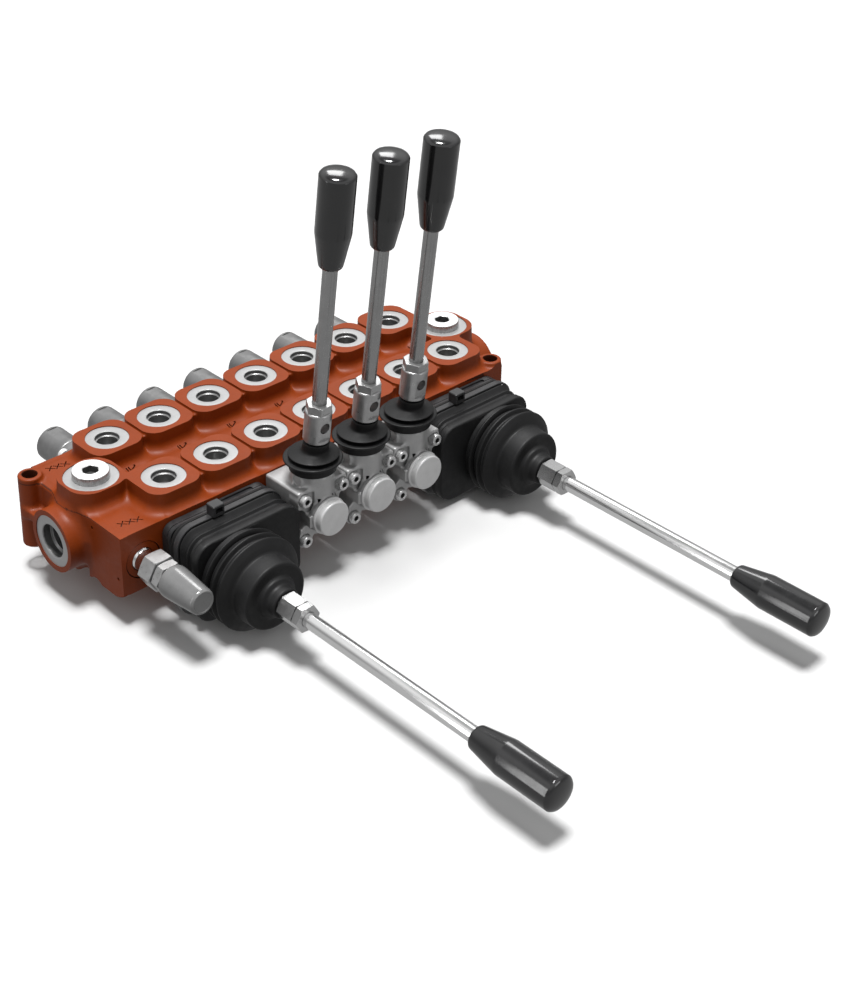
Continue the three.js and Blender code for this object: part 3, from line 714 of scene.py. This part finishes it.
def spring_caps():
    screw = socket_screw("y", (0, 0, 0), REAR_Y + 5.3, 1, 3.9, 4.2, 3.6)
    rim = [(rounded_rect(w, w, r, 8), s) for w, r, s in
           ((40.4, 6.6, 53.15), (41.0, 7.0, 53.6), (41.0, 7.0, 57.4), (40.2, 6.6, 58.2), (37, 5, 58.3))]
    plate = loft(rim, "y")
    barrel = lathe([(0, 53.2), (14.2, 53.2), (14.2, 58.4), (14.2, 59.6, 0.8), (12.9, 60.6, 0.5),
                    (12.4, 62.5, 0.5), (12.4, 76, 0.2), (12.15, 76.4, 0.2), (12.15, 77.2, 0.2),
                    (12.4, 77.6, 0.2), (12.4, 101.6, 0.8), (11.4, 102.9, 0.4), (7.4, 102.9, 0.2),
                    (7.0, 102.4, 0.2), (0, 102.4)], "y", n=72)
    inner = lathe([(0, 52), (9.9, 52), (9.9, 97), (0, 97)], "y", n=48)
    flats = boolean(barrel, box((-20, 92, 11.6), (20, 100, 20)))
    flats = boolean(flats, box((-20, 92, -20), (20, 100, -11.6)))
    cap = boolean(boolean(plate, flats, "UNION"), inner)
    for index, x in enumerate(SECTIONS, 1):
        at = (x * PITCH, 0, SPOOL_Z)
        piece(f"spring_cap_shell_{index}", shifted(cap, at), ZINC_CAP, "valve",
              (f"spring_cap_{index}",))
        screws = merge(*[shifted(screw, (at[0] + sx * CAP_SCREW_REACH, 0,
                                         at[2] + sz * CAP_SCREW_REACH))
                         for sx in (-1, 1) for sz in (-1, 1)])
        piece(f"cap_screws_{index}", screws, PLUG, "valve")


# ---- Lever units ----

def flat_box(a, b, low, high, radius):
    """Distance to a round-cornered rectangle in two of the coordinates."""
    qa = np.abs(a - (low[0] + high[0]) / 2) - (high[0] - low[0]) / 2 + radius
    qb = np.abs(b - (low[1] + high[1]) / 2) - (high[1] - low[1]) / 2 + radius
    return np.hypot(np.maximum(qa, 0), np.maximum(qb, 0)) + np.minimum(np.maximum(qa, qb), 0) - radius


def lever_box_field(p):
    x, y, z = p
    outline = blend_union(flat_box(x, z, (-20.6, 34), (20.6, 47.6), 1.6),
                          np.hypot(x, z - SPOOL_Z) - 16.2, 3.0)
    outline = blend_union(outline, flat_box(x, z, (-19.0, 9), (-8, 40), 1.5), 2.0)
    outline = blend_union(outline, np.hypot(x + 15.8, z - 10.3) - 5.2, 2.0)
    body = field_slab(outline + 0.9, np.abs(y + 71.95) - 16.65 + 0.9) - 0.9
    for side in (-1, 1):
        body = carve(body, field_rod(p, 1, (side * 21.6, 26.5), 8.2, -100, -66), 1.2)
    tower = field_rod(p, 2, (0, TOWER_Y), 13.2, 26, 59)
    web = field_rod(p, 2, (0, -86), 6.8, 30, 53)
    snout = field_rod(p, 1, (0, SPOOL_Z), 13.2, -93.7, -70)
    body = blend_union(body, tower, 4.0)
    body = blend_union(body, blend_union(web, snout, 3.0), 2.2)
    body = blend_union(body, field_box(p, (-14.6, -93.2, 21), (-9, -80, 29.5), 0.4), 0.7)
    body = blend_union(body, field_rod(p, 0, (-79.6, 50.9), 4.6, -14.3, -8), 1.5)
    body = carve(body, field_rod(p, 0, (-79.6, 50.9), 3.4, -20, -13.7), 0.3)
    for sx, sz in LEVER_SCREWS:
        boss = field_rod(p, 1, (sx, sz), 5.3, -88.9, -80)
        body = carve(blend_union(body, boss, 0.8), field_rod(p, 1, (sx, sz), 4.6, -100, -87.7), 0.3)
    sink = np.maximum(outline + 2.4, np.abs(y + 89) - 0.8)
    sink = np.maximum(sink, 30.5 - z)
    body = carve(body, np.maximum(sink, 8.2 - np.abs(x)), 0.6)
    for hollow in (field_rod(p, 2, (0, TOWER_Y), 10.8, 33, 66),
                   field_rod(p, 1, (0, SPOOL_Z), 10.8, -100, -50),
                   field_box(p, (-6.5, -92.3, 16), (6.5, -64, 39), 0.2)):
        body = np.maximum(body, -hollow)
    return np.maximum(np.maximum(body, -93.7 - y), z - 59)


def near_screw(x, z):
    """Whether a point lies inside the socket of a lever unit's screw."""
    from_unit = (x + 1.5 * PITCH) % PITCH - PITCH / 2
    return any(math.hypot(from_unit - sx, z - sz) < 2.3 for sx, sz in LEVER_SCREWS)


def lever_boxes():
    shape = surface(lever_box_field, (-21.8, -95.2, 3.6), (21.8, -54.2, 60.4), 0.62)
    shape = thinned(shape, 0.3)
    screw = socket_screw("y", (0, 0, 0), -87.8, -1, 4.1, 4.7, 3.6)
    for n, k in LEVERS.items():
        x = k * PITCH
        piece(f"lever_housing_{n}", shifted(shape, (x, 0, 0)), DIE_CAST, "valve",
              (f"lever_box_{n}",), angle=50)
        screws = merge(*[shifted(screw, (x + sx, 0, sz)) for sx, sz in LEVER_SCREWS])
        # The insides of the screw sockets take the dark copy: painted shade.
        piece(f"lever_screws_{n}", screws, [SCREW, SOCKET_SHADE], "valve",
              pick=lambda px, py, pz: int(-92.1 < py < -88.5 and near_screw(px, pz)))
        cap = lathe([(8.9, -90.2), (9.8, -90.2), (9.8, -93.9), (13.1, -93.9, 0.3), (13.35, -94.5, 0.3),
                     (13.3, -95.3, 0.3), (12.5, -95.7, 0.3), (12.3, -96.4, 0.3), (12.3, -100.1, 0.5),
                     (11.6, -100.75, 0.3), (0.001, -100.75), (0.001, -95.2), (8.9, -95.2)],
                    "y", (x, 0, SPOOL_Z), 96)
        piece(f"front_cap_{n}", cap, CAP_GREY, "valve", (f"lever_front_cap_{n}",),
              weighted=False)


def lever_boots():
    profile = [(13.7, 55.9), (15.6, 55.9, 0.3), (15.95, 56.5, 0.3), (15.95, 61.6, 0.4),
               (16.8, 62.2, 0.4), (19.2, 62.6, 0.3), (19.65, 63.2, 0.3), (19.6, 63.9, 0.3),
               (19.0, 64.3, 0.3), (14.5, 64.5, 0.6), (12.6, 65.2, 0.5), (12.6, 65.8, 0.5),
               (15.8, 66.5, 0.4), (16.9, 67.0, 0.3), (16.8, 67.6, 0.3), (13.6, 68.6, 1.0),
               (10.4, 69.7, 0.8), (9.0, 70.6, 0.6), (8.7, 71.8, 0.4), (8.7, 76.9, 0.3),
               (8.3, 77.25, 0.2), (6.8, 77.25, 0.2), (6.8, 69, 0.5), (9.5, 65.5),
               (11.4, 60.0, 1.0), (13.7, 59.6, 0.3)]
    verts, faces = lathe(profile, "z", n=96)
    verts[:, 1] -= 0.31 * np.clip(verts[:, 2] - 64.6, 0, None)  # the top follows the leaning lever
    for n, k in LEVERS.items():
        boot = piece(f"lever_gaiter_{n}", (verts + (k * PITCH, TOWER_Y, 0), faces), RUBBER, "valve",
                     (f"lever_boot_{n}",), ride=False, weighted=False)
        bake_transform(boot)


def leaned(part, x):
    """A part built upright on the lever's axis, its stations measured from the pivot."""
    return turned_part(shifted(part, (x, LEVER_PIVOT[0], LEVER_PIVOT[1])), LEVER_PIVOT, LEVER_LEAN)


def knob_profile(start, out):
    """A knob's rod hole, taper, grip and dome, from `start` along its rod towards `out`."""
    rows = [(0, 29), (5.2, 29), (5.2, 0.2), (6.7, 0, 0.4), (7.7, 1.0, 0.7), (8.1, 3.0, 0.8),
            (11.3, 22.4, 1.2), (11.5, 24, 0.6), (11.5, 62, 0.25), (11.1, 62.5, 0.2)]
    dome = [(11.1 * math.cos(t), 62.5 + 2.7 * math.sin(t)) for t in (0.35, 0.7, 1.0, 1.25, 1.42)]
    return [(r, start + out * s, *rest) for r, s, *rest in rows + dome + [(0, 65.2)]]


def lever_handles():
    barrel = lathe([(0, 31.4), (8.1, 31.4, 0.3), (8.9, 32.1, 0.5), (8.9, 53.6, 0.5),
                    (8.3, 54.4, 0.4), (0, 54.4)], "z", n=80)
    flat = rounded_rect(24, 14.2, 2.0, 6, 0, 41.6)
    pocket = loft([(flat, -12), (flat, -7.4)], "y")
    bore = lathe([(0, -13), (3.8, -13), (3.8, 13), (0, 13)], "y", (0, 0, 43.4), 40)
    holder = boolean(boolean(barrel, pocket), bore)
    crown = hex_nut(15.2, 53.4, 60.1, "z", (0, 0, 0), (False, True))
    socket = lathe([(0, 49.9), (4.95, 49.9), (4.95, 62), (0, 62)], "z", n=48)
    crown = boolean(crown, socket)
    holder = boolean(holder, socket)
    rod = lathe([(0, 50.2), (4.8, 50.2, 0.4), (4.8, 60), (4.8, 187.6, 0.4), (0, 187.8)], "z", n=56)
    knob = lathe(knob_profile(160, 1), "z", n=96)
    for n, k in LEVERS.items():
        x, body = k * PITCH, f"lever_{n}"
        piece(f"holder_{n}", leaned(holder, x), ZINC, body, (f"lever_holder_{n}",))
        piece(f"clamp_hexagon_{n}", leaned(crown, x), ZINC, body)
        piece(f"handle_rod_{n}", leaned(rod, x), STEEL, body, (f"lever_rod_{n}",),
              weighted=False)
        piece(f"handle_knob_{n}", leaned(knob, x), KNOB, body, (f"lever_knob_{n}",),
              weighted=False)


# ---- Joystick units ----

def joystick_plates(side, tag):
    axis, centre = side * STICK_X, side * PLATE_X
    rim = [(rounded_rect(82 - 2 * d, 61 - 2 * d, 8 - d, 10), s) for d, s in
           ((0.6, -55.35), (0, -56.0), (0, -63.0), (0.7, -63.7))]
    plate = loft(rim, "y", (centre, 0, STICK_Z))
    hub = lathe([(0, -60), (27, -60), (27, -94.2, 0.6), (26.2, -95, 0.3), (0, -95)], "y",
                (axis, 0, STICK_Z), 80)
    well = lathe([(0, -54), (22.6, -54), (22.6, -96), (0, -96)], "y", (axis, 0, STICK_Z), 64)
    notch = rounded_rect(30, 3.4, 1.6, 6, centre + 14.0, -59.5)
    pocket = loft([(notch, 44.2), (notch, 48)], "z")
    outer, inner = rounded_rect(84, 63, 9, 10), rounded_rect(81, 60, 7.5, 10)
    groove = loft([(outer, -61.2), (outer, -60.7)], "y", (centre, 0, STICK_Z))
    core = loft([(inner, -62), (inner, -60)], "y", (centre, 0, STICK_Z))
    whole = boolean(boolean(plate, hub, "UNION"), well)
    for x in (2 * PITCH, 3 * PITCH):  # the two spools slide into the plate
        hole = lathe([(0, -54), (9.4, -54), (9.4, -65), (0, -65)], "y", (side * x, 0, SPOOL_Z), 40)
        whole = boolean(whole, hole)
    whole = boolean(boolean(whole, pocket), boolean(groove, core))
    piece(f"mount_plate_{tag}", whole, PLATE, "valve", (f"joystick_plate_{tag}",))


def bellows(side, tag):
    axis, inward = side * STICK_X, side * (PLATE_X - STICK_X)
    rows = (  # station, width, height, corner, share of the inward offset
        (-64.2, 80.4, 62.9, 12, 1), (-64.6, 81.6, 64.1, 12.6, 1), (-65.4, 82, 64.5, 13, 1),
        (-66.3, 82, 64.5, 13, 1), (-66.7, 81, 63.5, 12.5, 1), (-67.1, 81, 63.5, 12.5, 1),
        (-67.5, 82, 64.5, 13, 1), (-68.5, 82, 64.5, 13, 1), (-68.9, 81.2, 63.7, 12.6, 1),
        (-73.6, 81.2, 63.7, 12.6, 1), (-74.0, 82, 64.5, 13, 1), (-74.9, 82, 64.5, 13, 1),
        (-75.6, 81, 63.2, 13, 1), (-76.6, 79.4, 60.4, 12.4, 1), (-77.6, 78.6, 58.8, 12, 1.02),
        (-78.4, 79.0, 59.4, 12.2, 1.03), (-79.6, 81.4, 60.6, 12.6, 1.05), (-80.3, 82.2, 61.0, 12.8, 1.06),
        (-80.9, 82.0, 60.8, 12.8, 1.06), (-81.3, 80.6, 59.2, 12.2, 1.06), (-81.9, 79.4, 57.4, 12, 1.07),
        (-83.6, 79.2, 57.0, 12, 1.07), (-84.8, 81.4, 57.8, 12.2, 1.07), (-86.0, 83.6, 59.0, 12.4, 1.08),
        (-90.2, 84.0, 59.2, 12.4, 1.08), (-90.8, 83.4, 58.8, 12.2, 1.08), (-91.3, 82.2, 57.8, 12, 1.08),
        (-91.5, 73.0, 56.6, 20, 0.8), (-91.7, 63.0, 56.4, 28, 0.3), (-91.9, 58.8, 58.6, 29.2, 0))
    sections = [(rounded_rect(w, h, min(r, h / 2 - 0.01), 15, inward * share), s)
                for s, w, h, r, share in rows]
    ribs = ((-92.8, 29.3), (-94.6, 29.2), (-95.6, 29.8), (-96.6, 31.0), (-97.2, 31.9), (-97.7, 32.3),
            (-98.2, 32.2), (-98.6, 31.4), (-98.9, 30.2), (-99.1, 29.2), (-99.1, 28.4), (-96, 28.0),
            (-92, 28.0), (-80, 28.0))
    disc = [(rounded_rect(2 * r, 2 * r, r - 0.01, 15), s) for s, r in ribs]
    hollow = rounded_rect(72, 50, 10, 15, inward)
    inside = [(hollow, -78.6), (hollow, -64.6)]
    base = loft(sections + disc + inside, "y", (axis, 0, STICK_Z), ring=True)
    base = piece(f"gaiter_base_{tag}", base, RUBBER, "valve", (f"bellows_base_{tag}",),
                 ride=False, weighted=False)
    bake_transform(base)
    nose = lathe([(28.8, -99.3, 0.2), (29.2, -99.9, 0.4), (29.3, -101.6, 0.8), (31.8, -103.9, 0.4),
                  (32.5, -104.6, 0.3), (32.4, -105.6, 0.3), (31.0, -106.2, 0.5), (29.4, -106.9, 0.6),
                  (29.4, -108.3, 0.8), (31.9, -110.5, 0.4), (32.6, -111.3, 0.3), (32.5, -112.2, 0.3),
                  (31.9, -112.7, 0.3), (28.4, -114.6, 1.0), (24.8, -116.0, 0.6), (23.9, -117.0, 0.6),
                  (23.8, -120), (23.4, -128.3, 0.5), (22.7, -129.2, 0.5), (21.4, -129.5, 0.4),
                  (17.2, -129.3, 1.2), (15.2, -129.5, 0.5), (14.2, -130.6, 0.5), (13.6, -131.9, 0.6),
                  (12.4, -132.5, 0.5), (11.2, -133.2, 0.6), (10.6, -134.6, 0.6), (10.3, -138.9, 0.4),
                  (9.6, -139.7, 0.3), (6.3, -139.7, 0.2), (6.3, -131, 0.8), (17, -126, 1.5),
                  (20.6, -123.5, 1.5), (21.4, -118), (26.5, -108, 1.5), (27.8, -100.4, 0.5)],
                 "y", (axis, 0, STICK_Z), 96)
    nose = piece(f"gaiter_nose_{tag}", nose, RUBBER, "valve", (f"bellows_nose_{tag}",),
                 ride=False, weighted=False)
    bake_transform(nose)


def cable_ties(side, tag):
    inward = side * PLATE_X
    x, top = inward - 10, STICK_Z + 33.4

    def band(width, height, corner):
        return rounded_rect(width, height, corner, 14)

    def shell(grow):
        return rounded_rect(9 + grow, 8 + grow, 0.9, 4, x, TIE_Y)

    strap = loft([(band(84.2, 66.7, 13.9), -73.5), (band(84.8, 67.3, 14.1), -73.2),
                  (band(84.8, 67.3, 14.1), -69.3), (band(84.2, 66.7, 13.9), -69.0),
                  (band(82.4, 64.9, 13.1), -69.0), (band(82.4, 64.9, 13.1), -73.5)], "y",
                 (inward, 0, STICK_Z), ring=True)
    head = loft([(shell(-0.6), top), (shell(0), top + 0.4), (shell(0), top + 7.4),
                 (shell(-0.9), top + 7.9)], "z")
    mouth = rounded_rect(5.4, 3.6, 0.5, 4, x, top + 4.2)
    head = boolean(head, loft([(mouth, -77), (mouth, -71)], "y"))
    end = rounded_rect(1.3, 4.0, 0.3, 3, x + 4.9, 0)
    tail = loft([(end, 0), (end, 2.2)], "z", (0, TIE_Y, top + 2.4))
    piece(f"tie_strap_{tag}", strap, NYLON, "valve", (f"cable_tie_{tag}",))
    piece(f"tie_head_{tag}", merge(head, tail), NYLON, "valve")


def joysticks():
    for side, tag in ((-1, "left"), (1, "right")):
        joystick_plates(side, tag)
        bellows(side, tag)
        cable_ties(side, tag)
        at = (side * STICK_X, STICK_PIVOT_Y, STICK_Z)
        body = f"joystick_{tag}"
        shank = lathe([(0, 14), (5.6, 14, 0.5), (5.6, -61), (0, -61)], "y", at, 48)
        pin = lathe([(0, -18), (3, -18, 0.3), (3, 18, 0.3), (0, 18)], "z", at, 32)
        head = hex_nut(STICK_FLATS, -68.3, -54.4, "y", at)
        shaft = boolean(boolean(shank, pin, "UNION"), head, "UNION")
        shaft = boolean(shaft, lathe([(0, -70), (5.3, -70), (5.3, -64), (0, -64)], "y", at, 48))
        piece(f"stick_shaft_{tag}", shaft, HEXAGON, body, (f"joystick_stem_{tag}",))
        nut = hex_nut(STICK_FLATS, -74.3, -68.6, "y", at, bore=5.3)
        piece(f"stick_nut_{tag}", nut, HEXAGON, body, (f"joystick_nut_{tag}",))
        rod = lathe([(0, -64.3), (5.1, -64.3, 0.5), (5.1, -245.6, 0.5), (0, -245.8)], "y", at, 56)
        piece(f"stick_rod_{tag}", rod, CHROME, body, (f"joystick_rod_{tag}",),
              weighted=False)
        knob = lathe(knob_profile(-218.4, -1), "y", at, 80)
        piece(f"stick_knob_{tag}", knob, KNOB, body, (f"joystick_knob_{tag}",),
              weighted=False)


casting()
port_liners()
end_port_liners()
top_plugs()
relief_valve()
spring_caps()
lever_boxes()
lever_boots()
lever_handles()
joysticks()

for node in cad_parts.values():  # spools, gimbal rings and lever stems stay as packed
    if not node.hide_render:
        if not node.material_slots:
            node.data.materials.append(STEEL)
        for slot in node.material_slots:
            slot.material = STEEL


# ---- Camera, floor and lights ----

scene = bpy.context.scene
scene.view_settings.view_transform = "Standard"

AZIMUTH, ELEVATION = math.radians(-41.683), math.radians(29.903)
TARGET = Vector((0.0336, -0.0362, PORT_Z * MM))
DISTANCE = 1.2583
back = Vector((math.sin(AZIMUTH) * math.cos(ELEVATION), -math.cos(AZIMUTH) * math.cos(ELEVATION),
               math.sin(ELEVATION)))
camera = bpy.data.objects.new("camera", bpy.data.cameras.new("camera"))
camera.location = TARGET + back * DISTANCE
camera.rotation_euler = (math.pi / 2 - ELEVATION, 0, AZIMUTH)
camera.data.lens = 66.1
camera.data.shift_x, camera.data.shift_y = 0.0691, -0.1050
camera.data.clip_start, camera.data.clip_end = 0.01, 120  # the floor's far corner is in view
scene.collection.objects.link(camera)
scene.camera = camera

FLOOR_HALF, FLOOR_Z = 40.0, CAD_BOX[0].z - 0.0002
floor_mesh = bpy.data.meshes.new("floor")
floor_mesh.from_pydata([(x * FLOOR_HALF, y * FLOOR_HALF, FLOOR_Z)
                        for x, y in ((-1, -1), (1, -1), (1, 1), (-1, 1))], [], [(0, 1, 2, 3)])
floor = bpy.data.objects.new("floor", floor_mesh)
scene.collection.objects.link(floor)
floor.visible_glossy = floor.visible_diffuse = False
floor_mesh.materials.append(finish_of("floor_white", (0.45, 0.45, 0.45), 0.8, 0, 0.01, 2, 0.05,
                                      specular=0.1))


def lamp(name, kind, strength, location, towards, size=1.0, height=None):
    data = bpy.data.lights.new(name, kind)
    data.energy = strength
    if kind == "AREA":
        data.shape = "RECTANGLE"
        data.size, data.size_y = size, height or size
    else:
        data.angle = size
    made = bpy.data.objects.new(name, data)
    made.location = location
    made.rotation_euler = (Vector(towards) - Vector(location)).to_track_quat("-Z", "Y").to_euler()
    scene.collection.objects.link(made)
    return made


lamp("key", "SUN", 5.9, (-0.05, 0.0, 2.0), (0, 0, 0), math.radians(16))
lamp("back_softbox", "AREA", 6,
     TARGET - Vector((back.x, back.y, 0)) * 1.3 + Vector((0, 0, 1.35)), TARGET, 0.5, 0.5)
lamp("left_strip", "AREA", 3.0, (-1.3, 0.25, 0.3), (0, 0, 0.05), 0.2, 1.0)
lamp("front_strip", "AREA", 1.3, (0.2, -1.4, 0.35), (0, 0, 0.05), 0.5, 0.3)

world = bpy.data.worlds.new("studio")
scene.world = world
world.use_nodes = True
tree = world.node_tree
direction = tree.nodes.new("ShaderNodeTexCoord").outputs["Generated"]
split = tree.nodes.new("ShaderNodeSeparateXYZ")
ramp = tree.nodes.new("ShaderNodeValToRGB")
stops = ramp.color_ramp.elements
END_STOPS = {0.0: 0, 1.0: -1}  # the ramp is made with these two
for position, level in ((0.0, 0.46), (0.40, 0.46), (0.49, 0.32), (0.60, 0.26), (0.70, 0.50),
                        (0.80, 0.80), (0.89, 0.85), (0.94, 0.20), (1.0, 0.02)):
    stop = stops[END_STOPS[position]] if position in END_STOPS else stops.new(position)
    stop.color = (level, level, level, 1)
tree.links.new(direction, split.inputs[0])
half = tree.nodes.new("ShaderNodeMapRange")
half.inputs["From Min"].default_value = -1.0
tree.links.new(split.outputs["Z"], half.inputs["Value"])
tree.links.new(half.outputs["Result"], ramp.inputs["Fac"])
tree.links.new(ramp.outputs["Color"], tree.nodes["Background"].inputs["Color"])
tree.nodes["Background"].inputs["Strength"].default_value = 1.0
